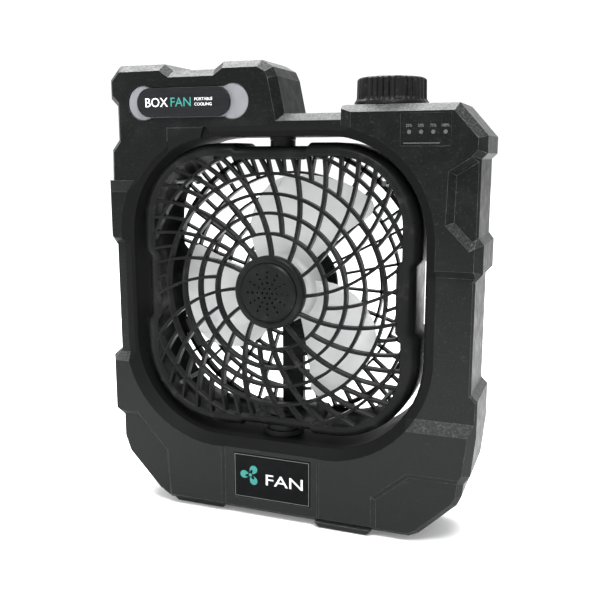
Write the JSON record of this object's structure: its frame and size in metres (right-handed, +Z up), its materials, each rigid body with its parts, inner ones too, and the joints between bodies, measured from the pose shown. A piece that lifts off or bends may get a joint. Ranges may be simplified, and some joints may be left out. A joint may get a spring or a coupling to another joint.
{
  "type": "portable box fan",
  "caption": "Portable box fan: armoured two-shell casing with work lamp, battery gauge and speed knob, around a square grilled fan head that swivels about a vertical axis.",
  "frame": {"origin": "on the floor, below the middle of the casing", "axes": "+Z up, -Y towards the front grille, +X towards the side with the speed knob"},
  "size_m": [0.239, 0.054, 0.2818],
  "materials": {
    "casing": "fine moulded texture, dark charcoal",
    "grille": "satin black moulded plastic",
    "black_rubber": "matt",
    "knob": "satin black",
    "lens": "frosted pale lens",
    "badge": "satin dark plate",
    "plate": "black plate with a thin pale border",
    "blades": "satin light grey",
    "board": "solder-masked circuit board",
    "led": "phosphor coated",
    "light_pipe": "frosted clear",
    "screw": "black zinc plated",
    "steel": "bright",
    "motor_can": "zinc plated can",
    "cell": "shrink wrapped",
    "inner_plastic": "plain black",
    "bush": "acetal, slightly waxy"
  },
  "bodies": {
    "casing": {"front_shell": "casing", "rear_shell": "casing", "shell_screws": "screw", "foot_pads": "black_rubber", "name_plate": "plate", "lamp_lens": "lens", "lamp_badge": "badge", "lamp_board": "board", "lamp_leds": "led", "board_screws": "steel", "gauge_panel": "badge", "gauge_pipes": "light_pipe", "control_board": "board", "speed_potentiometer": "steel", "potentiometer_nut": "steel", "battery_tray": "inner_plastic", "battery_cells": "cell", "cell_links": "steel", "charge_board": "board", "charge_socket": "steel", "lamp_switch": "board", "top_bush": "bush", "bottom_bush": "bush"},
    "head": {"front_grille": "grille", "rear_grille": "grille", "hub_cap": "grille", "top_pivot": "bush", "bottom_pivot": "bush", "motor": "motor_can", "motor_screws": "steel", "grille_screws": "screw"},
    "rotor": {"fan_blades": "blades", "motor_shaft": "steel", "blade_nut": "steel"},
    "knob": {"speed_knob": "knob", "knob_shaft": "steel"},
    "button": {"lamp_button": "black_rubber"},
    "cover": {"port_cover": "black_rubber"}
  },
  "joints": [
    {"name": "head_swivel", "type": "hinge", "parent": "casing", "child": "head", "pos_m": [-0.0065, 0, 0.1455], "axis": [0, 0, 1], "range_deg": [-90, 90]},
    {"name": "fan_spin", "type": "hinge", "parent": "head", "child": "rotor", "pos_m": [-0.0065, 0, 0.1455], "axis": [0, -1, 0], "continuous": true},
    {"name": "knob_turn", "type": "hinge", "parent": "casing", "child": "knob", "pos_m": [0.061, 0, 0.262], "axis": [0, 0, -1], "range_deg": [0, 280]},
    {"name": "lamp_press", "type": "slide", "parent": "casing", "child": "button", "axis": [0, -1, 0], "range_m": [0, 0.0012], "stiffness_N_per_m": 400},
    {"name": "cover_open", "type": "hinge", "parent": "casing", "child": "cover", "pos_m": [0.08, 0.0246, 0.0289], "axis": [1, 0, 0], "range_deg": [0, 100]}
  ]
}
